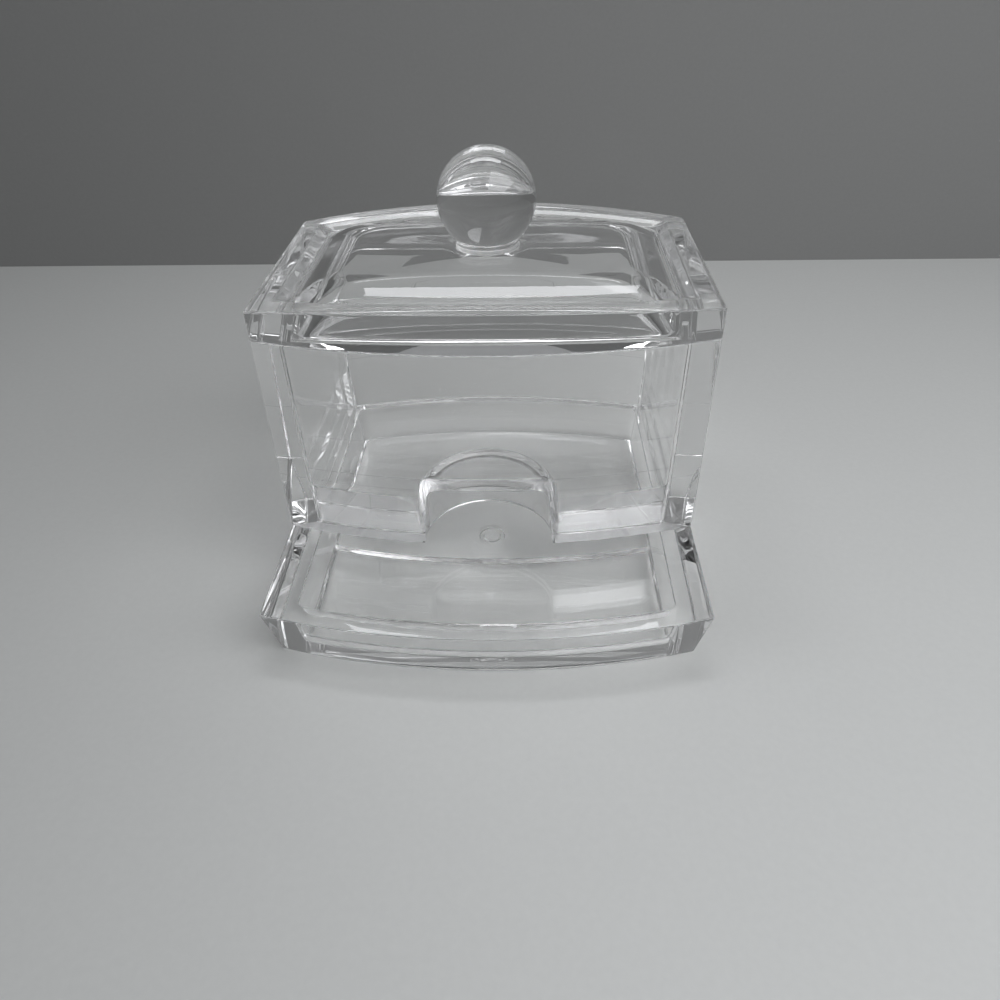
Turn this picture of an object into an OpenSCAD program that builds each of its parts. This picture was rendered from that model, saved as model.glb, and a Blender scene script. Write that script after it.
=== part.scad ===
// Clear moulded cotton swab dispenser: base tray, hopper, lid and ball knob.
// Millimetres. Z = 0 is the table, X is the width, -Y is the front.

/* [Plan] */
// Width over the straight sides
width = 100; // [80:1:130]
// Depth of the hopper's sides, corner to corner
hopper_depth = 57.4; // [45:0.2:75]
// How far the front and back walls bow out in the middle
wall_bow = 7.5; // [4:0.5:12]
// Reach of the tray's side rims in front of the hopper
tray_reach = 31.2; // [24:0.2:45]
// How far the tray's front bows out in the middle
tray_bow = 6.9; // [4:0.1:12]

/* [Base tray] */
// Height of the tray's rim
tray_height = 13; // [10:0.5:18]
// Thickness of the tray's floor
floor_thick = 2; // [1.6:0.1:3]
// How much higher the floor is under the hopper
floor_step = 1.2; // [0.6:0.1:2]
// How far the step's crest lies behind the hopper's front
step_back = 6.5; // [4:0.1:10]
// How far the step's slope runs forward from its crest
step_run = 0.9; // [0.4:0.1:3]
// How far the outside slants in at the table
tray_slant = 2.6; // [1:0.1:4]
// Width of the rim along the front
front_rim = 5; // [4:0.1:8]
// Width of the rim along the sides
side_rim = 8; // [7:0.1:11]
// Width of the rim under the back wall
back_rim = 4; // [3:0.1:6]
// How much thicker the rim's walls are at the floor
tray_draft = 1; // [0.4:0.1:2]
// Diameter of the moulding gate's mark under the floor
gate_mark_d = 6.8; // [4:0.1:10]
// Depth of the moulding gate's mark
gate_mark_depth = 0.4; // [0.2:0.1:0.8]
// How far the mark lies in front of the box's middle
gate_mark_front = 4; // [0:0.5:8]

/* [Hopper] */
// Height of the hopper above the tray's rim
hopper_height = 50.6; // [40:0.2:80]
// Thickness of the side walls at the top
side_wall = 6.5; // [5:0.1:6.8]
// Thickness of the side walls at the bend
side_wall_bend = 6.9; // [6.8:0.1:8]
// Thickness of the side walls at the foot
side_wall_foot = 7.4; // [7:0.1:9]
// Thickness of the front and back walls at the top
bowed_wall = 2.8; // [2:0.1:3]
// Thickness of the front and back walls at the bend
bowed_wall_bend = 3.4; // [3:0.1:5]
// Thickness of the front wall at the foot, where it guides swabs into the slot
front_wall_foot = 7.1; // [5:0.1:9]
// Thickness of the back wall at the foot
back_wall_foot = 2.2; // [1.8:0.1:3]
// Height of the inner faces' bend above the tray's rim
bend_height = 13.2; // [11:0.2:18]

/* [Finger recess] */
// Radius of the half-round finger recess at the tray's rim
recess_r = 15.5; // [12:0.1:20]
// Radius of the recess under its roof
recess_top_r = 14; // [11:0.1:19]
// Height of the recess above the tray's rim
recess_height = 16.2; // [12:0.2:22]
// How far the recess's centre lies behind the front wall's face
recess_set_in = 2; // [1:0.1:5]
// Thickness of the recess's wall and roof
recess_wall = 1.8; // [1.4:0.1:3]

/* [Lid] */
// Height of the lid's frame at its corners
lid_height = 6.8; // [5:0.1:10]
// Rise of the lid's arched top between its sides
lid_arch_height = 2.2; // [1:0.1:3]
// Width of the frame all round the lid
lid_frame = 5.6; // [4.6:0.1:6.2]
// Width of the groove between frame and pillow
groove_width = 2.4; // [1.5:0.1:3]
// Depth of the groove below the frame's top
groove_depth = 1.6; // [1:0.1:2.4]
// Height of the pillow's middle above the frame's middle
pillow_rise = 1.4; // [1:0.1:3]
// Height of the pillow's edge above the groove
pillow_edge = 0.3; // [0.2:0.1:0.6]
// Thickness of the pillow's shell
pillow_shell = 2.6; // [2:0.1:3]
// Thickness of the locating lip under the lid
lip_thick = 2; // [1.5:0.1:3]
// Depth of the locating lip below the frame
lip_depth = 2; // [1:0.1:4]
// Gap between the lip and the hopper's walls
lip_gap = 0.7; // [0.4:0.1:1.2]
// Width of the shelf between the lip and the hollow
hollow_shelf = 1.6; // [1:0.1:3]
// How far the hollow's sides slant in towards the pillow's top
hollow_slant = 6.7; // [3:0.1:9]

/* [Knob] */
// Diameter of the ball
ball_d = 22.4; // [16:0.2:30]
// Height of the ball's middle above the pillow
ball_lift = 10.2; // [9:0.2:12]
// Diameter of the collar under the ball
collar_d = 14.4; // [10:0.2:15.6]
// Depth of the collar's seat in the pillow
seat_depth = 0.6; // [0.4:0.1:1]
// Gap round the collar in its seat
seat_gap = 0.1; // [0.05:0.05:0.3]

/* [Hidden] */
$fn = 96;
clear_plastic = [0.86, 0.89, 0.9, 0.45];
clear_lid = [0.9, 0.93, 0.95, 0.45];
clear_ball = [0.82, 0.86, 0.88, 0.55];
// Overshoot that lets a cut pass cleanly through a face
over = 1;

// Plan: the box's middle is the origin
half_w = width / 2;
total_depth = tray_reach + tray_bow + hopper_depth + wall_bow;
y_tray_front = -total_depth / 2;
y_tray_tips = y_tray_front + tray_bow;
y_front = y_tray_tips + tray_reach;
y_back = y_front + hopper_depth;
y_mid = (y_front + y_back) / 2;
y_front_bow = y_front - wall_bow;
y_back_bow = y_back + wall_bow;
wall_r = bow_radius(half_w, wall_bow);
tray_r = bow_radius(half_w, tray_bow);

// Levels
z_rim = tray_height;
z_bend = z_rim + bend_height;
z_roof = z_rim + recess_height;
z_lid = z_rim + hopper_height;
z_lid_corner = z_lid + lid_height;
z_lid_mid = z_lid_corner + lid_arch_height;
z_pillow = z_lid_mid + pillow_rise;
z_seat = z_pillow - seat_depth;
z_ball = z_pillow + ball_lift;

// Lid: the lip is the largest rectangle that fits between the bowed walls
lip_half_w = half_w - side_wall - lip_gap;
lip_half_d = y_mid - front_at(lip_half_w) - bowed_wall - lip_gap;
hollow_half_w = lip_half_w - lip_thick - hollow_shelf;
hollow_half_d = lip_half_d - lip_thick - hollow_shelf;
arch_r = bow_radius(half_w, lid_arch_height);
pillow_in = lid_frame + groove_width;
pillow_half_w = half_w - pillow_in;
pillow_half_d = y_back_bow - y_mid - pillow_in;
z_groove_side = arch_at(pillow_half_w) - groove_depth;
pillow_crown_x = z_pillow - z_groove_side - pillow_edge;
pillow_crown_y = z_pillow - z_lid_mid + groove_depth - pillow_edge;

// Radius of an arc of half chord c that bows out by b
function bow_radius(c, b) = (c * c + b * b) / (2 * b);

// Y of the front wall's outside at a given X
function front_at(x) = y_front_bow + wall_r - sqrt(wall_r * wall_r - x * x);

// Z of the lid's arched top at a given X
function arch_at(x) = z_lid_mid - arch_r + sqrt(arch_r * arch_r - x * x);

// Value at height z of a slant that has the value v0 at z0 and v1 at z1
function slant_at(z, z0, v0, z1, v1) = v0 + (v1 - v0) * (z - z0) / (z1 - z0);

// Points (x, z) of an upright wall that lies at v[i] at the height z[i]
function wall_points(z, v) = [for (i = [0 : len(z) - 1]) [v[i], z[i]]];

// The list v of distances, taken from a reach
function inside(reach, v) = [for (d = v) reach - d];

// Upright round wall about (0, y): radius r[i] at the height z[i]
module round_wall(y, z, r)
    translate([0, y, 0]) rotate_extrude($fn = 240)
        polygon(concat([[0, z[0]]], wall_points(z, r), [[0, z[len(z) - 1]]]));

// Bar along Y from y0 to y1: half width w[i] at the height z[i]
module side_walls(y0, y1, z, w) {
    right = wall_points(z, w);
    left = [for (i = [len(z) - 1 : -1 : 0]) [-w[i], z[i]]];
    translate([0, y1, 0]) rotate([90, 0, 0]) linear_extrude(y1 - y0) polygon(concat(right, left));
}

// Solid between straight sides and bowed front and back, with a half width and two radii for each height in z
module bowed_block(z, w, front_centre, front_r, back_centre, back_r) {
    intersection() {
        side_walls(y_tray_front - over, y_back_bow + over, z, w);
        round_wall(front_centre, z, front_r);
        round_wall(back_centre, z, back_r);
    }
}

// Hopper-shaped block whose faces lie inside the hopper's outside by the given amounts at the heights z
module hopper_block(z, side_in, front_in, back_in)
    bowed_block(z, inside(half_w, side_in), y_front_bow + wall_r, inside(wall_r, front_in),
        y_back_bow - wall_r, inside(wall_r, back_in));

// Hopper-shaped block with upright faces, all set in by the same amount
module upright_block(z0, z1, inset)
    hopper_block([z0, z1], [inset, inset], [inset, inset], [inset, inset]);

// Tray-shaped block whose faces lie inside the tray's rim by the given amounts at the heights z
module tray_block(z, side_in, front_in, back_in)
    bowed_block(z, inside(half_w, side_in), y_tray_front + tray_r, inside(tray_r, front_in),
        y_back_bow - wall_r, inside(wall_r, back_in));

// Hollow of the tray, from its floor to above its rim
module tray_hollow() {
    rise = z_rim - floor_thick;
    top = z_rim + over;
    flare = tray_draft * over / rise;
    tray_block([floor_thick, top],
        [side_rim + tray_draft, side_rim - flare],
        [front_rim + tray_draft, front_rim - flare],
        [back_rim + tray_draft, back_rim - flare]);
}

// Raised floor under the hopper, with a sloping step down to the tray along its front
module hopper_floor() {
    side_in = tray_slant + over;
    bowed_block([floor_thick, floor_thick + floor_step], [half_w - side_in, half_w - side_in],
        y_front_bow + wall_r, [wall_r - step_back + step_run, wall_r - step_back],
        y_back_bow - wall_r, [wall_r - side_in, wall_r - side_in]);
}

module base_tray() {
    color(clear_plastic) difference() {
        union() {
            difference() {
                tray_block([0, z_rim], [tray_slant, 0], [tray_slant, 0], [tray_slant, 0]);
                tray_hollow();
            }
            hopper_floor();
        }
        translate([0, -gate_mark_front, -over]) cylinder(h = gate_mark_depth + over, d = gate_mark_d);
    }
}

// Upright half-round post in the front wall, open towards the front: radius r[i] at the height z[i]
module recess_post(z, r) {
    y = y_front_bow + recess_set_in;
    round_wall(y, z, r);
    side_walls(y_front_bow - over, y, z, r);
}

// Hollow of the hopper, with inner faces that bend part of the way up
module hopper_hollow() {
    top = z_lid + over;
    side_top = slant_at(top, z_bend, side_wall_bend, z_lid, side_wall);
    bowed_top = slant_at(top, z_bend, bowed_wall_bend, z_lid, bowed_wall);
    bottom = z_rim - over;
    side_bottom = slant_at(bottom, z_rim, side_wall_foot, z_bend, side_wall_bend);
    front_bottom = slant_at(bottom, z_rim, front_wall_foot, z_bend, bowed_wall_bend);
    back_bottom = slant_at(bottom, z_rim, back_wall_foot, z_bend, bowed_wall_bend);
    hopper_block([bottom, z_bend, top], [side_bottom, side_wall_bend, side_top],
        [front_bottom, bowed_wall_bend, bowed_top], [back_bottom, bowed_wall_bend, bowed_top]);
}

module hopper() {
    z_cut = z_rim - over;
    cut_r = slant_at(z_cut, z_rim, recess_r, z_roof, recess_top_r);
    color(clear_plastic) difference() {
        union() {
            difference() {
                upright_block(z_rim, z_lid, 0);
                hopper_hollow();
            }
            intersection() {
                recess_post([z_rim, z_roof + recess_wall],
                    [recess_r + recess_wall, recess_top_r + recess_wall]);
                upright_block(z_rim, z_lid, 0);
            }
        }
        recess_post([z_cut, z_roof], [cut_r, recess_top_r]);
    }
}

// Upright rectangular post about the lid's middle
module lid_post(hw, hd, z0, z1)
    translate([-hw, y_mid - hd, z0]) cube([2 * hw, 2 * hd, z1 - z0]);

// Space under a vault that arches across X and across Y; drop lowers it all over
module pillow_vault(drop) {
    rx = bow_radius(pillow_half_w, pillow_crown_x);
    ry = bow_radius(pillow_half_d, pillow_crown_y);
    intersection() {
        translate([0, y_mid, z_pillow - rx]) rotate([90, 0, 0])
            cylinder(h = total_depth, r = rx - drop, center = true, $fn = 240);
        translate([0, y_mid, z_pillow - ry]) rotate([0, 90, 0])
            cylinder(h = width, r = ry - drop, center = true, $fn = 240);
    }
}

// Hopper-shaped block under the lid's arched top, its sides set in and its top lowered
module arched_block(inset, drop) {
    intersection() {
        upright_block(z_lid, z_pillow + over, inset);
        translate([0, y_mid, z_lid_mid - arch_r]) rotate([90, 0, 0])
            cylinder(h = total_depth, r = arch_r - drop, center = true, $fn = 720);
    }
}

// Hollow under the pillow, whose sides slant in from the shelf inside the lip
module lid_hollow() {
    z = [z_lid - over, z_pillow];
    flare = hollow_slant * over / (z_pillow - z_lid);
    intersection() {
        side_walls(y_front_bow, y_back_bow, z, [hollow_half_w + flare, hollow_half_w - hollow_slant]);
        translate([0, y_mid, 0]) rotate([0, 0, 90])
            side_walls(-half_w, half_w, z, [hollow_half_d + flare, hollow_half_d - hollow_slant]);
        pillow_vault(pillow_shell);
    }
}

module lid() {
    z_lip = z_lid - lip_depth;
    z_over = z_pillow + over;
    color(clear_lid) difference() {
        union() {
            difference() {
                arched_block(0, 0);
                upright_block(z_lid - over, z_over, lid_frame);
            }
            arched_block(lid_frame, groove_depth);
            intersection() {
                upright_block(z_lid, z_over, pillow_in);
                pillow_vault(0);
            }
            lid_post(lip_half_w, lip_half_d, z_lip, z_lid + over);
        }
        lid_post(lip_half_w - lip_thick, lip_half_d - lip_thick, z_lip - over, z_lid);
        lid_hollow();
        translate([0, y_mid, z_seat]) cylinder(h = seat_depth + over, d = collar_d + 2 * seat_gap);
    }
}

module knob() {
    color(clear_ball) {
        translate([0, y_mid, z_ball]) sphere(d = ball_d);
        translate([0, y_mid, z_seat]) cylinder(h = z_ball - z_seat, d = collar_d);
    }
}

base_tray();
hopper();
lid();
knob();
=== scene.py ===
"""Clear moulded cotton swab dispenser: smooth ring meshes, clear polystyrene and a table-top stage.

Every new mesh is a stack of closed rings. A ring is a plan outline (straight sides, bowed front and
back, rounded corners) at one depth inside the part's outside and at one height. Neighbouring rings are
joined by quads, so a part's cross-section runs along its plan outline. Sizes are millimetres until a
mesh is made.
"""
import logging
import math
from collections.abc import Sequence
from dataclasses import dataclass, replace
from enum import Enum, IntEnum

import bpy
import numpy as np
from mathutils import Matrix, Vector


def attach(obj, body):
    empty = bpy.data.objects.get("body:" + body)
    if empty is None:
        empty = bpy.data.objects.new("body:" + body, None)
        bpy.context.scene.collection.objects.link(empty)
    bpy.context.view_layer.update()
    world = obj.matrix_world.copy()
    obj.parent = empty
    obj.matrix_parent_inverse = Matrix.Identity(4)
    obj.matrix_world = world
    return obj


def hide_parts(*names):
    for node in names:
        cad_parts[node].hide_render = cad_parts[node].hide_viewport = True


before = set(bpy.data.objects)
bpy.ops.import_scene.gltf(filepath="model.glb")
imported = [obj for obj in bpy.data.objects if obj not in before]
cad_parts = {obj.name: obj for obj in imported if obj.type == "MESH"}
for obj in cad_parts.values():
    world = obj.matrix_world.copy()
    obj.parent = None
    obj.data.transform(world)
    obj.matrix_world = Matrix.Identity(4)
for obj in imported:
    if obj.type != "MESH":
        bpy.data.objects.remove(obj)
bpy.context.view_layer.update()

log = logging.getLogger("swab_dispenser")
MM = 0.001

# Points per ring: along a bow, along half a corner, along a straight side
BOW_OUTER = 30
BOW_MIDDLE = 96
HALF_CORNER = 5
SIDE = 60
# Points from the middle of one corner to the middle of the next, across the front or the back
ACROSS = 2 * (BOW_OUTER + HALF_CORNER) + BOW_MIDDLE
# Points of a recess curve: its rounded edge, and its straight and round runs before they are spaced evenly
EDGE_POINTS = 8
STRAIGHT_POINTS = 40
ROUND_POINTS = 200
# Width over which the set-back middle of a front fades into the bow
SAG_FADE = 0.8
# Distance of a rounding's holding points from its corner, in lengths of the rounding
HOLD = 1.6
# Radius of an edge that looks straight
FLAT_R = 4000.0
# Air left between two parts that touch, so that no two faces share a plane
AIR = 0.02


class Slot(Enum):
    """Material slots of the record."""

    TRAY = "clear_tray"
    HOPPER = "clear_hopper"
    LID = "clear_lid"
    KNOB = "clear_knob"


class Body(Enum):
    """Bodies of the record that pieces ride on."""

    BOX = "box"
    LID = "lid"


class Face(IntEnum):
    """Kinds of face, numbered as a piece's finishes are."""

    CLEAR = 0
    BOND = 1
    MATT = 2


@dataclass(frozen=True)
class Sizes:
    """Shared sizes of the dispenser, the same as the CAD source's."""

    half_width: float = 50.0
    front: float = -20.9
    back: float = 51.5
    bow: float = 7.5
    tray_front: float = -51.5
    tray_bow: float = 6.9
    rim: float = 13.0
    lid_seat: float = 63.6
    lid_corner: float = 70.4
    lid_arch: float = 2.2
    pillow_top: float = 74.0
    seat_depth: float = 0.6
    side_foot: float = 7.4
    back_foot: float = 2.2

    @property
    def knob_seat(self) -> float:
        """Height of the knob's seat in the pillow.

        Returns:
            The height in millimetres.
        """
        return self.pillow_top - self.seat_depth

    @property
    def hopper_corner(self) -> float:
        """Y of the hopper's front corners.

        Returns:
            The position in millimetres.
        """
        return self.front + self.bow

    @property
    def wall_r(self) -> float:
        """Radius of the hopper's bowed walls.

        Returns:
            The radius in millimetres.
        """
        return bow_radius(self.half_width, self.bow)

    @property
    def middle(self) -> float:
        """Y of the hopper's and the lid's middle.

        Returns:
            The position in millimetres.
        """
        return (self.front + self.back) / 2

    def arch(self, x: np.ndarray) -> np.ndarray:
        """Height of the lid's arched frame.

        Args:
            x: positions across the width.
        Returns:
            Height of a circular arch through the corners and the middle at each position.
        """
        r = bow_radius(self.half_width, self.lid_arch)
        return self.lid_corner + self.lid_arch - r + np.sqrt(r * r - x * x)


def bow_radius(half_chord: float, bow: float) -> float:
    """Radius of an arc.

    Args:
        half_chord: half the distance between the arc's ends.
        bow: how far the arc's middle stands out.
    Returns:
        The radius.
    """
    return (half_chord * half_chord + bow * bow) / (2 * bow)


def circle_points(centre: tuple[float, float], r: float, start: float, end: float, count: int) -> np.ndarray:
    """Points along a circular arc, without its end point.

    Args:
        centre: the arc's centre.
        r: its radius.
        start: first angle in radians.
        end: last angle in radians.
        count: number of points.
    Returns:
        Array of count points.
    """
    a = np.linspace(start, end, count, endpoint=False)
    return np.stack([centre[0] + r * np.cos(a), centre[1] + r * np.sin(a)], 1)


@dataclass(frozen=True)
class Recess:
    """Half-round detour of a bowed front: a circle behind the front, joined to it by rounded edges."""

    r: float
    centre: float
    edge: float


@dataclass(frozen=True)
class Outline:
    """Closed plan outline that starts at the front left corner and runs anticlockwise seen from above."""

    half_w: float
    front: float
    front_r: float
    back: float
    back_r: float
    corner: float
    # Half the width of the front's finely divided middle, and how far that middle is set back
    middle_x: float = 12.0
    sag: float = 0.0
    recess: Recess | None = None
    side_steps: np.ndarray | None = None

    def inset(self, side: float, front: float, back: float, corner: float) -> "Outline":
        """The outline moved inwards.

        Args:
            side: distance from the sides.
            front: distance from the front.
            back: distance from the back.
            corner: radius of the new corners.
        Returns:
            The smaller outline, its bows concentric with this one's.
        """
        return replace(self, half_w=self.half_w - side, corner=corner,
                       front=self.front + front, front_r=self.front_r - front,
                       back=self.back - back, back_r=self.back_r - back)

    def front_y(self, x: np.ndarray | float) -> np.ndarray:
        """Y of the bowed front.

        Args:
            x: positions across the width.
        Returns:
            Y at each position.
        """
        return self.front + self.front_r - np.sqrt(self.front_r ** 2 - np.square(x))

    def recess_half(self) -> np.ndarray:
        """Right half of the recess curve, from the bowed front to the recess's deepest point.

        A parabola rounds the edge. A straight run leads back to a quarter circle, unless the circle's
        middle lies in front of the bow: then the circle starts at the bow.

        Returns:
            Points; the first lies on the bowed front, the last on the plane of symmetry.
        """
        r, y0, edge = self.recess.r, self.recess.centre, self.recess.edge
        on_bow = float(self.front_y(r))
        turn = math.asin(max(on_bow - y0, 0.0) / r)
        corner = np.array([r * math.cos(turn), on_bow])
        on_front = np.array([corner[0] + edge, float(self.front_y(corner[0] + edge))])
        if turn > 0.0:
            run = circle_points((0.0, y0), r, turn + edge / r, math.pi / 2, ROUND_POINTS)
        else:
            y = np.linspace(corner[1] + edge, y0, STRAIGHT_POINTS, endpoint=False)
            straight = np.stack([np.full_like(y, r), y], 1)
            run = np.concatenate([straight, circle_points((0.0, y0), r, 0.0, math.pi / 2, ROUND_POINTS)])
        run = np.concatenate([run, [[0.0, y0 + r]]])
        t = np.linspace(0, 1, EDGE_POINTS, endpoint=False)[:, None]
        round_edge = (1 - t) ** 2 * on_front + 2 * t * (1 - t) * corner + t * t * run[0]
        length = np.concatenate([[0], np.cumsum(np.linalg.norm(np.diff(run, axis=0), axis=1))])
        want = np.linspace(0, length[-1], BOW_MIDDLE // 2 - EDGE_POINTS + 1)
        spaced = np.stack([np.interp(want, length, run[:, k]) for k in (0, 1)], 1)
        return np.concatenate([round_edge, spaced])

    def front_points(self, end_x: float) -> np.ndarray:
        """Points along the front, with its recess if it has one.

        Args:
            end_x: where the bow ends beside the corners.
        Returns:
            Points from left to right, without the last.
        """
        if self.recess:
            half = self.recess_half()
            edge_x = half[0, 0]
            middle = np.concatenate([half * (-1, 1), half[-2:0:-1]])
        else:
            edge_x = self.middle_x
            x = np.linspace(-edge_x, edge_x, BOW_MIDDLE, endpoint=False)
            fade = np.clip((edge_x - np.abs(x)) / SAG_FADE, 0, 1)
            middle = np.stack([x, self.front_y(x) + self.sag * fade], 1)
        left = np.linspace(-end_x, -edge_x, BOW_OUTER, endpoint=False)
        right = np.linspace(edge_x, end_x, BOW_OUTER, endpoint=False)
        sides = [np.stack([x, self.front_y(x)], 1) for x in (left, right)]
        return np.concatenate([sides[0], middle, sides[1]])

    def points(self) -> np.ndarray:
        """Points of the outline.

        Returns:
            Array of plan points; every outline has the same number, in the same order.
        """
        c = self.corner
        w = self.half_w - c
        front_mid, back_mid = self.front + self.front_r, self.back - self.back_r
        a_f = math.asin(w / (self.front_r - c))
        a_b = math.asin(w / (self.back_r - c))
        y_f = front_mid - (self.front_r - c) * math.cos(a_f)
        y_b = back_mid + (self.back_r - c) * math.cos(a_b)
        right_angle = math.pi / 2
        n = 2 * HALF_CORNER
        front_left = circle_points((-w, y_f), c, math.pi, 3 * right_angle - a_f, n)
        front_right = circle_points((w, y_f), c, a_f - right_angle, 0, n)
        back_right = circle_points((w, y_b), c, 0, right_angle - a_b, n)
        back_left = circle_points((-w, y_b), c, right_angle + a_b, math.pi, n)
        steps = np.arange(SIDE) / SIDE if self.side_steps is None else self.side_steps
        ends = np.append(steps, 1.0)
        right = np.stack([np.full(SIDE, self.half_w), y_f + (y_b - y_f) * ends[:-1]], 1)
        left = np.stack([np.full(SIDE, -self.half_w), y_f + (y_b - y_f) * ends[:0:-1]], 1)
        t = np.linspace(a_b, -a_b, 2 * BOW_OUTER + BOW_MIDDLE, endpoint=False)
        back = np.stack([self.back_r * np.sin(t), back_mid + self.back_r * np.cos(t)], 1)
        front = self.front_points(self.front_r * math.sin(a_f))
        return np.concatenate([front_left[HALF_CORNER:], front, front_right, right,
                               back_right, back, back_left, left, front_left[:HALF_CORNER]])

    def ring(self, z: float | np.ndarray) -> np.ndarray:
        """Ring of the outline in space.

        Args:
            z: height, one for all points or one for each.
        Returns:
            Array of points.
        """
        xy = self.points()
        return np.column_stack([xy, np.broadcast_to(z, len(xy))])


def rounded(corner: tuple[float, float], before: tuple[float, float], after: tuple[float, float],
            steps: int = 5) -> np.ndarray:
    """A profile's corner, rounded, with a point held close on each side so that the flats stay flat.

    Args:
        corner: depth and height of the sharp corner.
        before: offset from the corner to where the rounding starts.
        after: offset from the corner to where the rounding ends.
        steps: points of the rounding.
    Returns:
        Profile points on a parabola that is tangent to both flats, and the two holding points.
    """
    p, a, b = np.array(corner), np.array(before), np.array(after)
    t = np.linspace(0, 1, steps)[:, None]
    curve = p + (1 - t) ** 2 * a + t * t * b
    return np.concatenate([[p + HOLD * a], curve, [p + HOLD * b]])


def ring_quads(rows: int, count: int, closed: bool) -> np.ndarray:
    """Quads between neighbouring rings.

    Args:
        rows: number of rings.
        count: points in each ring.
        closed: whether the last ring joins the first.
    Returns:
        Vertex numbers of the quads, facing outwards for rings stacked up an outside.
    """
    i = np.arange(rows if closed else rows - 1)[:, None]
    j = np.arange(count)[None, :]
    low, high = i * count, (i + 1) % rows * count
    k = (j + 1) % count
    return np.stack([low + j, low + k, high + k, high + j], -1).reshape(-1, 4)


def fan(ring_start: int, count: int, centre: int, upwards: bool) -> np.ndarray:
    """Triangles that close a ring.

    Args:
        ring_start: number of the ring's first vertex.
        count: points in the ring.
        centre: number of the centre's vertex.
        upwards: whether the triangles face up.
    Returns:
        Vertex numbers of the triangles.
    """
    j = np.arange(count)
    k = (j + 1) % count
    first, second = (j, k) if upwards else (k, j)
    return np.stack([np.full(count, centre), ring_start + first, ring_start + second], 1)


def make_piece(name: str, points: np.ndarray, faces: Sequence[np.ndarray], body: Body,
               node: str, finishes: Sequence["Finish"], finish_of: np.ndarray) -> bpy.types.Object:
    """Makes a smooth mesh piece that stands for a CAD node.

    Args:
        name: name of the piece.
        points: vertices in millimetres.
        faces: arrays of quads and triangles.
        body: body that it rides on.
        node: CAD node that it replaces.
        finishes: its finishes, in the order of the kinds of face.
        finish_of: kind of each face.
    Returns:
        The new object, at the origin.
    """
    mesh = bpy.data.meshes.new(name)
    mesh.from_pydata((points * MM).tolist(), [], [f for group in faces for f in group.tolist()])
    mesh.polygons.foreach_set("use_smooth", np.ones(len(mesh.polygons), bool))
    for finish in finishes:
        mesh.materials.append(finish.build())
    mesh.polygons.foreach_set("material_index", finish_of.astype(np.int32))
    mesh.update()
    mesh.validate()
    piece = bpy.data.objects.new(name, mesh)
    bpy.context.scene.collection.objects.link(piece)
    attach(piece, body.value)
    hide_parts(node)
    log.info("%s: %d vertices, %d faces", name, len(mesh.vertices), len(mesh.polygons))
    return piece


def srgb(code: str) -> tuple[float, float, float, float]:
    """Linear colour of an sRGB hex code.

    Args:
        code: such as "#c0c0c0".
    Returns:
        Linear red, green, blue and alpha.
    """
    v = np.array([int(code[k:k + 2], 16) for k in (1, 3, 5)]) / 255
    lin = np.where(v <= 0.04045, v / 12.92, ((v + 0.055) / 1.055) ** 2.4)
    return (*lin.tolist(), 1.0)


def add_node(material: bpy.types.Material, kind: str, **values: object) -> bpy.types.Node:
    """Adds a shader node, or takes a new material's Principled one, and sets and links its inputs.

    Args:
        material: material to add to.
        kind: node type.
        values: values or other nodes' outputs by input name, with spaces written as underscores.
    Returns:
        The node.
    """
    tree = material.node_tree
    if kind == "ShaderNodeBsdfPrincipled":
        node = tree.nodes["Principled BSDF"]
    else:
        node = tree.nodes.new(kind)
    for key, value in values.items():
        socket = node.inputs[key.replace("_", " ")]
        if isinstance(value, bpy.types.NodeSocket):
            tree.links.new(value, socket)
        else:
            socket.default_value = value
    return node


@dataclass(frozen=True)
class ClearPlastic:
    """Injection-moulded clear polystyrene from a polished mould.

    It gives the eye a colourless body that bends the view strongly, sharp reflections, and a slow
    waviness from the melt's flow that makes lines seen through it wander a little.
    """

    name: str
    tint: str = "#ffffff"
    ior: float = 1.58
    roughness: float = 0.004
    wave_mm: float = 9.0
    wave_height_mm: float = 0.004

    def build(self) -> bpy.types.Material:
        """Makes the material.

        Returns:
            The material.
        """
        material = bpy.data.materials.new(self.name)
        material.use_nodes = True
        where = add_node(material, "ShaderNodeTexCoord")
        wave = add_node(material, "ShaderNodeTexNoise", Vector=where.outputs["Object"],
                        Scale=1 / (self.wave_mm * MM), Detail=1.0, Roughness=0.4)
        bump = add_node(material, "ShaderNodeBump", Height=wave.outputs["Fac"], Strength=1.0,
                        Distance=self.wave_height_mm * MM)
        add_node(material, "ShaderNodeBsdfPrincipled", Base_Color=srgb(self.tint), IOR=self.ior,
                 Roughness=self.roughness, Transmission_Weight=1.0, Normal=bump.outputs["Normal"])
        return material


@dataclass(frozen=True)
class SolventBond:
    """Solvent-bonded faces, where two mouldings have become one body.

    It gives the eye nothing: light passes from one moulding into the other without a surface between.
    """

    name: str = "solvent_bond"

    def build(self) -> bpy.types.Material:
        """Makes the material, or takes the one that is there.

        Returns:
            The material.
        """
        if self.name in bpy.data.materials:
            return bpy.data.materials[self.name]
        material = bpy.data.materials.new(self.name)
        material.use_nodes = True
        add_node(material, "ShaderNodeBsdfPrincipled", Alpha=0.0)
        return material


Finish = ClearPlastic | SolventBond


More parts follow.
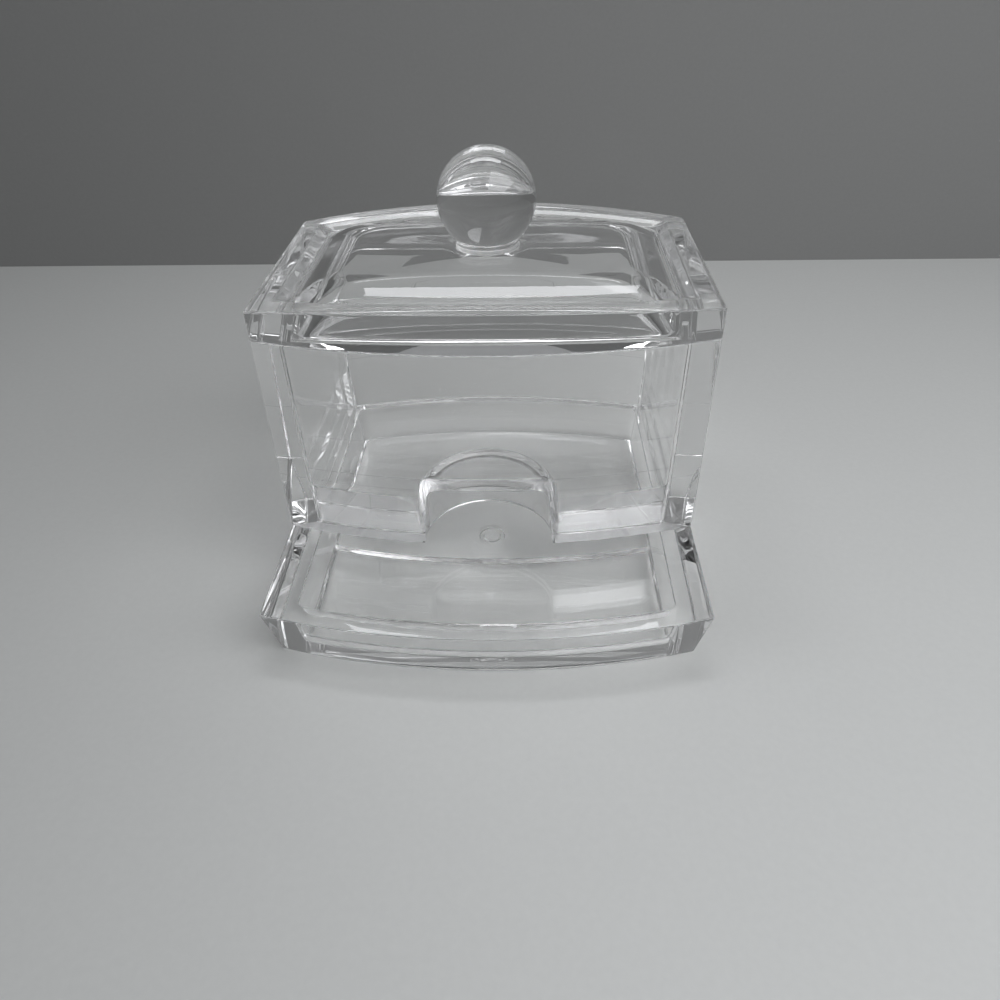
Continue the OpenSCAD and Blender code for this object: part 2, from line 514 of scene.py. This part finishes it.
@dataclass(frozen=True)
class MattePaint:
    """Matt painted or laminated board of the stage, with a faint speckle."""

    name: str
    light: str
    dark: str
    roughness: float
    grain_mm: float = 1.5

    def build(self) -> bpy.types.Material:
        """Makes the material.

        Returns:
            The material.
        """
        material = bpy.data.materials.new(self.name)
        material.use_nodes = True
        where = add_node(material, "ShaderNodeTexCoord")
        grain = add_node(material, "ShaderNodeTexNoise", Vector=where.outputs["Object"],
                         Scale=1 / (self.grain_mm * MM), Detail=3.0)
        ramp = add_node(material, "ShaderNodeValToRGB", Fac=grain.outputs["Fac"])
        ramp.color_ramp.elements[0].color = srgb(self.dark)
        ramp.color_ramp.elements[1].color = srgb(self.light)
        add_node(material, "ShaderNodeBsdfPrincipled", Base_Color=ramp.outputs["Color"],
                 Roughness=self.roughness)
        return material


@dataclass
class BaseTray:
    """Base moulding: thick-rimmed tray whose floor is raised under the hopper."""

    sizes: Sizes
    slant: float = 2.6
    side_rim: float = 8.0
    front_rim: float = 5.0
    back_rim: float = 4.0
    draft: float = 1.0
    floor: float = 2.0
    floor_step: float = 1.2
    step_back: float = 6.5
    step_run: float = 0.9
    # Zone on each side of the step where points are bunched, and shares of a side's points up to its ends
    step_zone: float = 1.0
    zone_share: tuple[float, float] = (0.3, 0.7)
    edge: float = 0.35
    floor_fillet: float = 1.2
    front_cove: float = 6.0
    cove_rings: int = 18
    outer_corner: float = 0.6
    inner_corner: float = 2.2
    # Inset and corner of the outline that spaces the underside's points about the gate
    ray_inset: float = 6.0
    ray_corner: float = 2.0
    gate_y: float = -4.0
    # Radius and height along the gate mark: a shallow dimple with a deeper ring in it
    gate_profile: tuple[tuple[float, float], ...] = (
        (1.2, 0.1), (2.0, 0.1), (2.15, 0.14), (2.3, 0.36), (2.45, 0.4), (3.1, 0.4),
        (3.25, 0.36), (3.4, 0.14), (3.55, 0.1), (4.6, 0.06), (4.9, 0.0), (5.6, 0.0))
    finish: ClearPlastic = ClearPlastic("clear_polystyrene_tray")

    def outline(self) -> Outline:
        """Outline of the rim's outside.

        Returns:
            The outline.
        """
        s = self.sizes
        return Outline(s.half_width, s.tray_front, bow_radius(s.half_width, s.tray_bow), s.back, s.wall_r,
                       self.outer_corner)

    def lift(self, xy: np.ndarray) -> np.ndarray:
        """How much the floor is raised: none in the tray, all under the hopper, a round-nosed step between.

        Args:
            xy: plan points.
        Returns:
            Lift at each point.
        """
        s = self.sizes
        behind = s.wall_r - np.linalg.norm(xy - (0.0, s.front + s.wall_r), axis=-1)
        behind = np.where(xy[..., 1] > s.middle, self.step_back, behind)
        t = np.clip((behind - self.step_back) / self.step_run + 1, 0, 1)
        return self.floor_step * np.sqrt(1 - (1 - t) ** 2)

    def step_y(self, x: np.ndarray) -> np.ndarray:
        """Y of the floor step's crest, which runs parallel to the hopper's front.

        Args:
            x: positions across the width.
        Returns:
            Y at each position.
        """
        s = self.sizes
        return s.front + s.wall_r - np.sqrt((s.wall_r - self.step_back) ** 2 - np.square(x))

    def side_steps(self) -> np.ndarray:
        """Where the points of a straight side lie between its ends, bunched at the floor's step.

        Returns:
            Fractions of the side's length.
        """
        edge = self.inner_outline(self.outline(), self.floor)
        y = edge.points()[ACROSS + HALF_CORNER:][:SIDE, 1]
        length = (y[-1] - y[0]) * SIDE / (SIDE - 1)
        crest = float(self.step_y(np.array(edge.half_w)))
        zone = np.array([crest - self.step_run - self.step_zone, crest + self.step_zone])
        knots = np.concatenate([[0.0], (zone - y[0]) / length, [1.0]])
        share = np.array([0.0, *self.zone_share, 1.0]) * SIDE
        return np.interp(np.arange(SIDE), share, knots)

    def underside(self) -> list[np.ndarray]:
        """Rings of the underside, from the moulding gate's mark outwards.

        Returns:
            The rings.
        """
        inset = self.slant + self.ray_inset
        gate = (0.0, self.gate_y)
        away = self.outline().inset(inset, inset, inset, self.ray_corner).points() - gate
        ray = away / np.linalg.norm(away, axis=1, keepdims=True)
        return [np.column_stack([ray * r + gate, np.full(len(ray), z)]) for r, z in self.gate_profile]

    def walls(self) -> list[np.ndarray]:
        """Rings from the underside's edge, up the outside, over the rim and down to the floor.

        Returns:
            The rings.
        """
        e = self.edge
        rim = self.sizes.rim
        slope = self.slant / rim
        inner = self.draft / (rim - self.floor)
        outside = np.concatenate([
            rounded((self.slant, 0.0), (e, 0.0), (-slope * e, e)),
            rounded((0.0, rim), (slope * e, -e), (e, 0.0))])
        base = replace(self.outline(), side_steps=self.side_steps())
        rings = [base.inset(d, d, d, self.outer_corner).ring(z) for d, z in outside]
        rings.append(self.bond_edge(base).ring(rim))
        for d, z in rounded((0.0, rim), (-e, 0.0), (inner * e, -e)):
            shape = base.inset(self.side_rim + d, self.front_rim + d, self.back_rim + d, self.inner_corner)
            rings.append(shape.ring(z))
        for t in np.linspace(1, 0, self.cove_rings):
            z = self.floor + self.front_cove * t * t
            ring = self.inner_outline(base, z).ring(z)
            low = 1 - (z - self.floor) / (rim - self.floor)
            ring[:, 2] += low * self.lift(ring[:, :2])
            rings.append(ring)
        return rings

    def inner_outline(self, base: Outline, z: float) -> Outline:
        """Outline of the rim's inside: drafted walls on a quarter-round foot, which is wider in front.

        Args:
            base: outline of the rim's outside.
            z: the height.
        Returns:
            The outline.
        """
        up = z - self.floor
        draft = self.draft * (1 - up / (self.sizes.rim - self.floor))
        radii = (self.floor_fillet, self.front_cove)
        side, front = (draft + r - math.sqrt(r * r - max(r - up, 0.0) ** 2) for r in radii)
        return base.inset(self.side_rim + side, self.front_rim + front, self.back_rim + side,
                          self.inner_corner)

    def bond_edge(self, base: Outline) -> Outline:
        """Outline on the rim's top where the bond with the hopper ends.

        Args:
            base: outline of the rim's outside.
        Returns:
            The outline, inside the feet of the hopper's side and back walls.
        """
        s, e = self.sizes, self.edge
        return base.inset(s.side_foot - e, self.front_rim / 2, s.back_foot - e, self.inner_corner)

    def bonded(self, rings: Sequence[np.ndarray], faces: int) -> np.ndarray:
        """Which faces lie under the feet of the hopper's side and back walls.

        Args:
            rings: all rings of the tray.
            faces: number of its faces.
        Returns:
            Kind of each face.
        """
        edge = self.bond_edge(replace(self.outline(), side_steps=self.side_steps())).ring(self.sizes.rim)
        row = next(k for k, ring in enumerate(rings) if np.array_equal(ring, edge)) - 1
        behind = rings[row][:, 1] > self.sizes.hopper_corner
        kind = np.full(faces, Face.CLEAR, int)
        both_behind = behind & np.roll(behind, -1)
        kind[row * len(edge):(row + 1) * len(edge)] = np.where(both_behind, Face.BOND, Face.CLEAR)
        return kind

    def floor_grid(self, ring: np.ndarray) -> np.ndarray:
        """Grid that fills the floor inside a ring.

        It adds the two straight blends between opposite edges of the ring and takes away the blend of its
        corners. Its rows are then bunched along the floor's step and run parallel to it there.

        Args:
            ring: the floor's edge.
        Returns:
            Array of rows by columns by three.
        """
        along = SIDE + 2 * HALF_CORNER
        front = ring[:ACROSS + 1]
        right = ring[ACROSS:ACROSS + along + 1]
        back = ring[ACROSS + along:2 * ACROSS + along + 1][::-1]
        left = np.concatenate([ring[2 * ACROSS + along:], ring[:1]])[::-1]
        v = np.linspace(0, 1, along + 1)[:, None, None]
        u = np.linspace(0, 1, ACROSS + 1)[None, :, None]
        corners = ((1 - v) * (1 - u) * front[0] + (1 - v) * u * front[-1]
                   + v * (1 - u) * back[0] + v * u * back[-1])
        grid = ((1 - v) * front[None] + v * back[None]
                + (1 - u) * left[:, None] + u * right[:, None] - corners)
        crest = self.step_y(grid[0, :, 0])
        keys = np.stack([grid[0, :, 1], crest - self.step_run - self.step_zone,
                         crest + self.step_zone, grid[-1, :, 1]])
        weights = np.stack([np.interp(right[:, 1], keys[:, -1], one) for one in np.eye(len(keys))], 1)
        grid[1:-1, 1:-1, 1] = (weights @ keys)[1:-1, 1:-1]
        grid[1:-1, 1:-1, 2] = self.floor + self.lift(grid[1:-1, 1:-1, :2])
        return grid

    def build(self) -> bpy.types.Object:
        """Makes the tray's mesh.

        Returns:
            The piece.
        """
        rings = self.underside() + self.walls()
        count = len(rings[0])
        grid = self.floor_grid(rings[-1])
        rows, cols = grid.shape[:2]
        numbers = np.full((rows, cols), -1)
        last = (len(rings) - 1) * count
        across, along = cols - 1, rows - 1
        numbers[0, :] = last + np.arange(across + 1)
        numbers[:, -1] = last + across + np.arange(along + 1)
        numbers[-1, ::-1] = last + across + along + np.arange(across + 1)
        numbers[::-1, 0] = last + (2 * across + along + np.arange(along + 1)) % count
        inner = numbers < 0
        start = len(rings) * count
        numbers[inner] = start + np.arange(inner.sum())
        centre = start + int(inner.sum())
        quads = [numbers[:-1, :-1], numbers[:-1, 1:], numbers[1:, 1:], numbers[1:, :-1]]
        floor = np.stack(quads, -1).reshape(-1, 4)
        points = np.concatenate([*rings, grid[inner], [[0.0, self.gate_y, self.gate_profile[0][1]]]])
        faces = [ring_quads(len(rings), count, False), floor, fan(0, count, centre, False)]
        bonded = self.bonded(rings, sum(len(group) for group in faces))
        return make_piece("tray_moulding", points, faces, Body.BOX, "base_tray",
                          (self.finish, SolventBond()), bonded)


@dataclass
class Hopper:
    """Hopper moulding: thick sides, bowed front and back, and a roofed finger recess in the front."""

    sizes: Sizes
    # Thickness of the walls at the bend and at the top
    side_wall: tuple[float, float] = (6.9, 6.5)
    bowed_wall: tuple[float, float] = (3.4, 2.8)
    front_foot: float = 7.1
    bend: float = 26.2
    # Heights of the rings about the bend, counted from it
    bend_rings: tuple[float, ...] = (1.8, 0.15, -0.15, -0.8, -4.0, -8.0)
    # Radius of the recess at its foot and at its roof
    recess_r: tuple[float, float] = (15.5, 14.0)
    roof: float = 29.2
    recess_wall: float = 1.8
    recess_set_in: float = 2.0
    recess_edge: float = 0.5
    roof_fillet: float = 2.6
    roof_join: float = 0.8
    edge: float = 0.35
    outer_corner: float = 0.6
    inner_corner: float = 2.0
    # Numbers of rings on the recess's wall, round its fillet, round its roof's edge and on the plain walls
    recess_rings: int = 6
    fillet_rings: int = 9
    roof_rings: int = 7
    plain_rings: int = 5
    # Distances from an edge to the next ring of a plain wall
    wide_gap: float = 4.0
    narrow_gap: float = 3.0
    finish: ClearPlastic = ClearPlastic("clear_polystyrene_hopper")
    edge_finish: ClearPlastic = ClearPlastic("matt_polystyrene_foot", roughness=0.5)

    def outline(self) -> Outline:
        """Outline of the outside.

        Returns:
            The outline.
        """
        s = self.sizes
        return Outline(s.half_width, s.front, s.wall_r, s.back, s.wall_r, self.outer_corner)

    def recess_at(self, z: float, extra: float) -> Recess:
        """The recess's curve.

        Args:
            z: height.
            extra: distance outside the finger's side of the recess.
        Returns:
            The curve at that height, on a cone that narrows upwards.
        """
        t = (z - self.sizes.rim) / (self.roof - self.sizes.rim)
        r = self.recess_r[0] + (self.recess_r[1] - self.recess_r[0]) * t
        return Recess(r + extra, self.sizes.front + self.recess_set_in, self.recess_edge)

    def outside(self) -> list[np.ndarray]:
        """Rings up the outside and into the recess, under its roof, and on to the top edge.

        Returns:
            The rings.
        """
        e, f = self.edge, self.roof_fillet
        base = self.outline()
        foot, top = self.sizes.rim + AIR, self.sizes.lid_seat - AIR
        rings = []
        for d, z in rounded((0.0, foot), (e, 0.0), (0.0, e)):
            shape = base.inset(d, d, d, self.outer_corner)
            rings.append(replace(shape, recess=self.recess_at(z, d)).ring(z))
        for z in np.linspace(foot + self.narrow_gap, self.roof - f, self.recess_rings):
            rings.append(replace(base, recess=self.recess_at(z, 0.0)).ring(z))
        for a in np.linspace(0, math.pi / 2, self.fillet_rings)[1:]:
            z = self.roof - f * (1 - math.sin(a))
            recess = self.recess_at(z, -f * (1 - math.cos(a)))
            rings.append(replace(base, recess=recess).ring(z))
        plain = replace(base, middle_x=recess.r + recess.edge)
        for sag, z in rounded((0.0, self.roof), (e, 0.0), (0.0, e)):
            rings.append(replace(plain, sag=sag).ring(z))
        for z in np.linspace(self.roof + self.wide_gap, top - self.wide_gap, self.plain_rings):
            rings.append(plain.ring(z))
        for d, z in rounded((0.0, top), (0.0, -e), (e, 0.0)):
            rings.append(plain.inset(d, d, d, self.outer_corner).ring(z))
        return rings

    def inner_shape(self, z: float, extra: float = 0.0) -> Outline:
        """Outline of the inside: the walls' thickness changes evenly from foot to bend and on to the top.

        Args:
            z: height.
            extra: distance that every wall is thickened by.
        Returns:
            The outline at that height, without the recess.
        """
        s = self.sizes
        heights = (s.rim, self.bend, s.lid_seat)
        side = float(np.interp(z, heights, (s.side_foot, *self.side_wall))) + extra
        front = float(np.interp(z, heights, (self.front_foot, *self.bowed_wall))) + extra
        back = float(np.interp(z, heights, (s.back_foot, *self.bowed_wall))) + extra
        return self.outline().inset(side, front, back, self.inner_corner)

    def inside(self) -> list[np.ndarray]:
        """Rings from the top's inner edge down the inside, over the recess's roof, to the foot.

        Returns:
            The rings.
        """
        e, j, wall = self.edge, self.roof_join, self.recess_wall
        foot, top = self.sizes.rim + AIR, self.sizes.lid_seat - AIR
        roof_top = self.roof + wall
        roof_edge = replace(self.inner_shape(roof_top), recess=self.recess_at(roof_top, 0.0))
        plain_x = float(roof_edge.recess_half()[0, 0])
        rings = []
        for d, z in rounded((0.0, top), (-e, 0.0), (0.0, -e)):
            rings.append(replace(self.inner_shape(z, d), middle_x=plain_x).ring(z))
        for z in np.linspace(top - self.wide_gap, roof_top + self.narrow_gap, self.plain_rings):
            rings.append(replace(self.inner_shape(z), middle_x=plain_x).ring(z))
        for sag, z in rounded((0.0, roof_top), (0.0, j), (j, 0.0)):
            rings.append(replace(self.inner_shape(z), middle_x=plain_x, sag=sag).ring(z))
        for a in np.linspace(0, math.pi / 2, self.roof_rings):
            z = roof_top - wall * (1 - math.cos(a))
            recess = self.recess_at(z, wall * math.sin(a))
            rings.append(replace(self.inner_shape(z), recess=recess).ring(z))
        for z in self.bend + np.array(self.bend_rings):
            rings.append(replace(self.inner_shape(z), recess=self.recess_at(z, wall)).ring(z))
        for d, z in rounded((0.0, foot), (0.0, e), (-e, 0.0)):
            rings.append(replace(self.inner_shape(z, d), recess=self.recess_at(z, wall + d)).ring(z))
        return rings

    def build(self) -> bpy.types.Object:
        """Makes the hopper's mesh.

        Returns:
            The piece.
        """
        rings = self.outside() + self.inside()
        count = len(rings[0])
        faces = [ring_quads(len(rings), count, True)]
        kind = np.full(len(faces[0]), Face.CLEAR, int)
        # The foot is matt across the front and bonded elsewhere
        kind[-count:] = np.where(np.arange(count) < ACROSS, Face.MATT, Face.BOND)
        return make_piece("hopper_moulding", np.concatenate(rings), faces, Body.BOX, "hopper",
                          (self.finish, SolventBond(), self.edge_finish), kind)


@dataclass
class Lid:
    """Lid moulding: arched frame, V groove, straight-shouldered pillow, and a lip round a hollow below."""

    sizes: Sizes
    outer_corner: float = 0.6
    frame_width: float = 5.4
    groove_end: float = 8.0
    groove_depth: float = 1.6
    groove_round: float = 0.25
    groove_floor: float = 0.1
    # Depth from which the corners grow rounder inwards, and the pillow's corner radius
    corner_start: float = 5.0
    pillow_corner: float = 4.0
    shoulder: float = 6.7
    shoulder_rise: float = 3.0
    # Shares of the shoulder that its upper edge's rounding takes from the slope and from the top
    shoulder_round: tuple[float, float] = (0.35, 0.45)
    shoulder_points: int = 15
    # Places of the pillow top's rings between its edge and the knob's seat
    top_rings: tuple[float, ...] = (0.2, 0.45, 0.7, 0.9, 1.0)
    lip_half_w: float = 42.8
    lip_half_d: float = 27.2
    lip_thick: float = 2.0
    lip_depth: float = 2.0
    lip_corner: float = 2.0
    hollow_edge: float = 3.6
    hollow_run: float = 5.0
    # Shares of the hollow's slope that roundings take: from its ceiling, at its upper and its lower end
    hollow_round: tuple[float, float, float] = (0.5, 0.45, 0.07)
    hollow_foot: float = 0.3
    hollow_points: int = 9
    # How much a corner of the hollow grows rounder per depth
    corner_growth: float = 0.4
    ceiling_corner: float = 3.0
    ceiling_rings: tuple[float, float] = (3.0, 9.0)
    ceiling_drop: float = 1.3
    seat_r: float = 7.3
    seat_land: float = 0.6
    seat_inner: float = 3.0
    # Sizes of the seat's rounded rim and of the bevel round its floor
    seat_rim: float = 0.2
    seat_bevel: float = 0.1
    edge: float = 0.35
    finish: ClearPlastic = ClearPlastic("clear_polystyrene_lid")

    def outline(self) -> Outline:
        """Outline of the frame's outside.

        Returns:
            The outline.
        """
        s = self.sizes
        return Outline(s.half_width, s.front, s.wall_r, s.back, s.wall_r, self.outer_corner)

    def lip_outline(self, d: float, corner: float) -> Outline:
        """Nearly straight-edged outline under the lid.

        Args:
            d: distance inside the lip's outside.
            corner: corner radius.
        Returns:
            The outline.
        """
        y, half_d = self.sizes.middle, self.lip_half_d
        return Outline(self.lip_half_w - d, y - half_d + d, FLAT_R, y + half_d - d, FLAT_R, corner)

    def seat_ring(self, r: float, like: np.ndarray) -> np.ndarray:
        """Circle about the knob's axis.

        Args:
            r: its radius.
            like: ring whose points it matches by direction.
        Returns:
            Plan points.
        """
        away = like[:, :2] - (0.0, self.sizes.middle)
        return away / np.linalg.norm(away, axis=1, keepdims=True) * r + (0.0, self.sizes.middle)

    def underside(self) -> list[np.ndarray]:
        """Rings from the hollow's ceiling out to the frame's lower edge.

        Returns:
            The rings.
        """
        e, run = self.edge, self.hollow_run
        s = self.sizes
        seat = s.lid_seat + AIR
        lip = s.lid_seat - self.lip_depth
        rings = []
        top, high, low = self.hollow_round
        slope = rounded((self.hollow_edge + run, 1.0), (top * run, 0.0), (-high * run, -high),
                        self.hollow_points)
        foot = rounded((self.hollow_edge, 0.0), (low * run, low), (-self.hollow_foot, 0.0))
        wide = self.lip_outline(self.hollow_edge + 2 * run, self.ceiling_corner).points()
        for r in self.ceiling_rings:
            xy = self.seat_ring(r, wide)
            rings.append(np.column_stack([xy, s.arch(xy[:, 0]) - self.ceiling_drop]))
        for d, h in np.concatenate([slope, foot]):
            xy = self.lip_outline(d, self.lip_corner + self.corner_growth * d).points()
            ceiling = s.arch(xy[:, 0]) - self.ceiling_drop
            rings.append(np.column_stack([xy, seat + h * (ceiling - seat)]))
        profile = np.concatenate([
            rounded((self.lip_thick, seat), (e, 0.0), (0.0, -e)),
            rounded((self.lip_thick, lip), (0.0, e), (-e, 0.0)),
            rounded((0.0, lip), (e, 0.0), (0.0, e)),
            rounded((0.0, seat), (0.0, -e), (-e, 0.0))])
        rings += [self.lip_outline(d, self.lip_corner).ring(z) for d, z in profile]
        base = self.outline()
        for d, z in rounded((0.0, seat), (e, 0.0), (0.0, e)):
            rings.append(base.inset(d, d, d, self.outer_corner).ring(z))
        return rings

    def top(self) -> list[np.ndarray]:
        """Rings from the frame's top edge over groove and pillow to the knob's seat.

        Returns:
            The rings.
        """
        s = self.sizes
        e, g, end = self.edge, self.groove_depth, self.groove_end
        base = self.outline()
        bevel = (end - self.frame_width) / g
        groove = [(end - self.groove_round * bevel, self.groove_round - g),
                  (end - self.groove_floor, -g), (end + self.groove_floor, -g)]
        level = self.shoulder_rise - g
        slope_share, top_share = self.shoulder_round
        profile = np.concatenate([
            rounded((0.0, 0.0), (0.0, -e), (e, 0.0)),
            rounded((self.frame_width, 0.0), (-e, 0.0), (bevel * e, -e)),
            groove,
            rounded((end + self.shoulder, level),
                    (-slope_share * self.shoulder, -slope_share * self.shoulder_rise),
                    (top_share * self.shoulder, 0.0), self.shoulder_points)])
        rings = []
        for d, h in profile:
            corner = max(self.outer_corner, min(d - self.corner_start, self.pillow_corner))
            xy = base.inset(d, d, d, corner).points()
            rings.append(np.column_stack([xy, s.arch(xy[:, 0]) + h]))
        plateau = rings[-1]
        circle = self.seat_ring(self.seat_r + self.seat_land, plateau)
        crown = s.pillow_top - s.lid_corner - s.lid_arch
        for t in self.top_rings:
            xy = (1 - t) * plateau[:, :2] + t * circle
            rings.append(np.column_stack([xy, s.arch(xy[:, 0]) + level + (crown - level) * t * (2 - t)]))
        seat, rim, foot = s.knob_seat, self.seat_rim, self.seat_bevel
        recess = np.concatenate([
            rounded((0.0, s.pillow_top), (rim, 0.0), (0.0, -rim), 3)[1:-1],
            [(0.0, seat + foot), (-foot, seat), (-self.seat_inner, seat)]])
        for r, z in recess:
            xy = self.seat_ring(self.seat_r + r, plateau)
            rings.append(np.column_stack([xy, np.full(len(xy), z)]))
        return rings

    def build(self) -> bpy.types.Object:
        """Makes the lid's mesh.

        Returns:
            The piece.
        """
        rings = self.underside() + self.top()
        count = len(rings[0])
        y = self.sizes.middle
        ceiling = float(self.sizes.arch(np.zeros(1))[0]) - self.ceiling_drop
        points = np.concatenate([*rings, [[0.0, y, ceiling], [0.0, y, self.sizes.knob_seat]]])
        under, over = len(points) - 2, len(points) - 1
        faces = [ring_quads(len(rings), count, False), fan(0, count, under, False),
                 fan((len(rings) - 1) * count, count, over, True)]
        kind = np.full(sum(len(group) for group in faces), Face.CLEAR, int)
        # The seat's floor is bonded: its fan and the last row of quads
        kind[-count:] = Face.BOND
        kind[(len(rings) - 2) * count:(len(rings) - 1) * count] = Face.BOND
        return make_piece("lid_moulding", points, faces, Body.LID, "lid",
                          (self.finish, SolventBond()), kind)


@dataclass
class Knob:
    """Solid ball on a collar, turned about a vertical axis."""

    sizes: Sizes
    ball_r: float = 11.2
    ball_z: float = 84.2
    collar_r: float = 7.2
    edge: float = 0.2
    fillet: float = 0.7
    foot_r: float = 3.0
    # Distances that hold the collar straight: above its foot, and below its fillet in fillet radii
    foot_hold: float = 0.6
    fillet_hold: float = 2.2
    around: int = 144
    ball_points: int = 90
    finish: ClearPlastic = ClearPlastic("clear_polystyrene_knob", wave_height_mm=0.001)

    def build(self) -> bpy.types.Object:
        """Makes the knob's mesh: collar profile and ball arc, turned about the axis.

        Returns:
            The piece.
        """
        e, f, collar_r = self.edge, self.fillet, self.collar_r
        low = math.acos((collar_r + f) / self.ball_r)
        meet = self.ball_z - self.ball_r * math.sin(low)
        foot = self.sizes.knob_seat + AIR
        collar = rounded((collar_r, foot), (-e, 0.0), (0.0, e))
        neck = np.array([(collar_r, foot + self.foot_hold), (collar_r, meet - self.fillet_hold * f)])
        join = rounded((collar_r, meet - f), (0.0, -f), (f, f))[1:-1]
        a = np.linspace(-low, math.pi / 2, self.ball_points)[1:-1]
        ball = np.stack([self.ball_r * np.cos(a), self.ball_z + self.ball_r * np.sin(a)], 1)
        profile = np.concatenate([[(self.foot_r, foot)], collar, neck, join, ball])
        t = np.linspace(0, 2 * math.pi, self.around, endpoint=False)
        turn = np.stack([np.cos(t), np.sin(t), np.zeros_like(t)], 1)
        rings = [r * turn + (0.0, self.sizes.middle, z) for r, z in profile]
        ends = [[0.0, self.sizes.middle, foot], [0.0, self.sizes.middle, self.ball_z + self.ball_r]]
        points = np.concatenate([*rings, ends])
        last = len(rings) - 1
        faces = [ring_quads(len(rings), self.around, False), fan(0, self.around, len(points) - 2, False),
                 fan(last * self.around, self.around, len(points) - 1, True)]
        kind = np.full(sum(len(group) for group in faces), Face.CLEAR, int)
        # The collar's foot is bonded: the first row of quads and its fan
        kind[:self.around] = Face.BOND
        kind[last * self.around:(last + 1) * self.around] = Face.BOND
        return make_piece("knob_ball", points, faces, Body.LID, "knob",
                          (self.finish, SolventBond()), kind)


@dataclass(frozen=True)
class AreaLamp:
    """Soft rectangular lamp of the stage, with its place, the point it faces and its size in metres."""

    name: str
    place: tuple[float, float, float]
    aim: tuple[float, float, float]
    size: tuple[float, float]
    watts: float
    colour: str = "#fbfcff"

    def build(self) -> None:
        """Adds the lamp to the scene."""
        lamp = bpy.data.lights.new(self.name, "AREA")
        lamp.shape = "RECTANGLE"
        lamp.size, lamp.size_y = self.size
        lamp.energy = self.watts
        lamp.color = srgb(self.colour)[:3]
        obj = bpy.data.objects.new(self.name, lamp)
        obj.location = self.place
        obj.rotation_euler = (Vector(self.aim) - Vector(self.place)).to_track_quat("-Z", "Y").to_euler()
        bpy.context.scene.collection.objects.link(obj)


@dataclass
class Stage:
    """Pale table, grey wall, soft lights and the photograph's camera."""

    camera_mm: tuple[float, float, float] = (8.823, -164.82, 137.306)
    # Degrees that the camera looks down, turns and leans
    pitch: float = 37.46
    yaw: float = 2.329
    roll: float = -1.332
    lens: float = 28.21
    sensor: float = 36.0
    nearest: float = 0.01
    # Metres: the wall's distance, the table's reach and how far it lies under the part
    wall_y: float = 0.201
    reach: float = 3.0
    table_drop: float = 0.0003
    side_panel: AreaLamp = AreaLamp(
        "side_panel", (0.26, -0.22, 0.36), (0.26, -0.22, 0.0), (0.42, 0.36), 1.24)
    ceiling_strip: AreaLamp = AreaLamp(
        "ceiling_strip", (0.0, 0.125, 0.45), (0.0, -0.01, 0.07), (0.34, 0.076), 0.45)
    room_colour: str = "#c4c6c8"
    room_strength: float = 0.43
    # Bounces of light: in all and through clear walls, and off gloss or through cut-out faces
    bounces: int = 40
    surface_bounces: int = 32
    table: MattePaint = MattePaint("pale_laminate_table", "#d6d7d5", "#d0d1cf", 0.55)
    wall: MattePaint = MattePaint("grey_painted_wall", "#949493", "#8f8f8e", 0.8)

    def plane(self, name: str, corners: Sequence[tuple[float, float, float]], paint: MattePaint) -> None:
        """Adds a stage plane.

        Args:
            name: name of the plane.
            corners: its four corners in metres.
            paint: its finish.
        """
        mesh = bpy.data.meshes.new(name)
        mesh.from_pydata(corners, [], [(0, 1, 2, 3)])
        obj = bpy.data.objects.new(name, mesh)
        bpy.context.scene.collection.objects.link(obj)
        mesh.materials.append(paint.build())

    def camera(self) -> None:
        """Adds the camera fitted to the photograph's edges."""
        p, w, r = (math.radians(v) for v in (self.pitch, self.yaw, self.roll))
        ahead = Vector((-math.sin(w) * math.cos(p), math.cos(w) * math.cos(p), -math.sin(p)))
        right = Vector((math.cos(w), math.sin(w), 0.0))
        up = right.cross(ahead)
        right, up = math.cos(r) * right + math.sin(r) * up, math.cos(r) * up - math.sin(r) * right
        data = bpy.data.cameras.new("photo_camera")
        data.lens = self.lens
        data.sensor_width = self.sensor
        data.clip_start = self.nearest
        obj = bpy.data.objects.new("photo_camera", data)
        turn = Matrix((right, up, -ahead)).transposed().to_4x4()
        obj.matrix_world = Matrix.Translation(Vector(self.camera_mm) * MM) @ turn
        bpy.context.scene.collection.objects.link(obj)
        bpy.context.scene.camera = obj

    def light_paths(self) -> None:
        """Lets light bounce often enough inside the clear walls, and pass through them unblurred."""
        cycles = bpy.context.scene.cycles
        cycles.max_bounces = self.bounces
        cycles.transmission_bounces = self.bounces
        cycles.glossy_bounces = self.surface_bounces
        cycles.transparent_max_bounces = self.surface_bounces
        cycles.blur_glossy = 0.0

    def build(self) -> None:
        """Makes table, wall, lights, world and camera."""
        low, far, back = -self.table_drop, self.reach, self.wall_y
        self.plane("table", [(-far, -far, low), (far, -far, low), (far, back, low), (-far, back, low)],
                   self.table)
        self.plane("wall", [(-far, back, low), (far, back, low), (far, back, far), (-far, back, far)],
                   self.wall)
        self.side_panel.build()
        self.ceiling_strip.build()
        world = bpy.data.worlds.new("room")
        world.use_nodes = True
        background = world.node_tree.nodes["Background"]
        background.inputs["Color"].default_value = srgb(self.room_colour)
        background.inputs["Strength"].default_value = self.room_strength
        bpy.context.scene.world = world
        bpy.context.scene.view_settings.view_transform = "Standard"
        self.light_paths()
        self.camera()


def main() -> None:
    """Builds the pieces and the stage."""
    logging.basicConfig(level=logging.INFO, format="%(name)s: %(message)s")
    sizes = Sizes()
    BaseTray(sizes).build()
    Hopper(sizes).build()
    Lid(sizes).build()
    Knob(sizes).build()
    Stage().build()


if __name__ == "__main__":
    main()
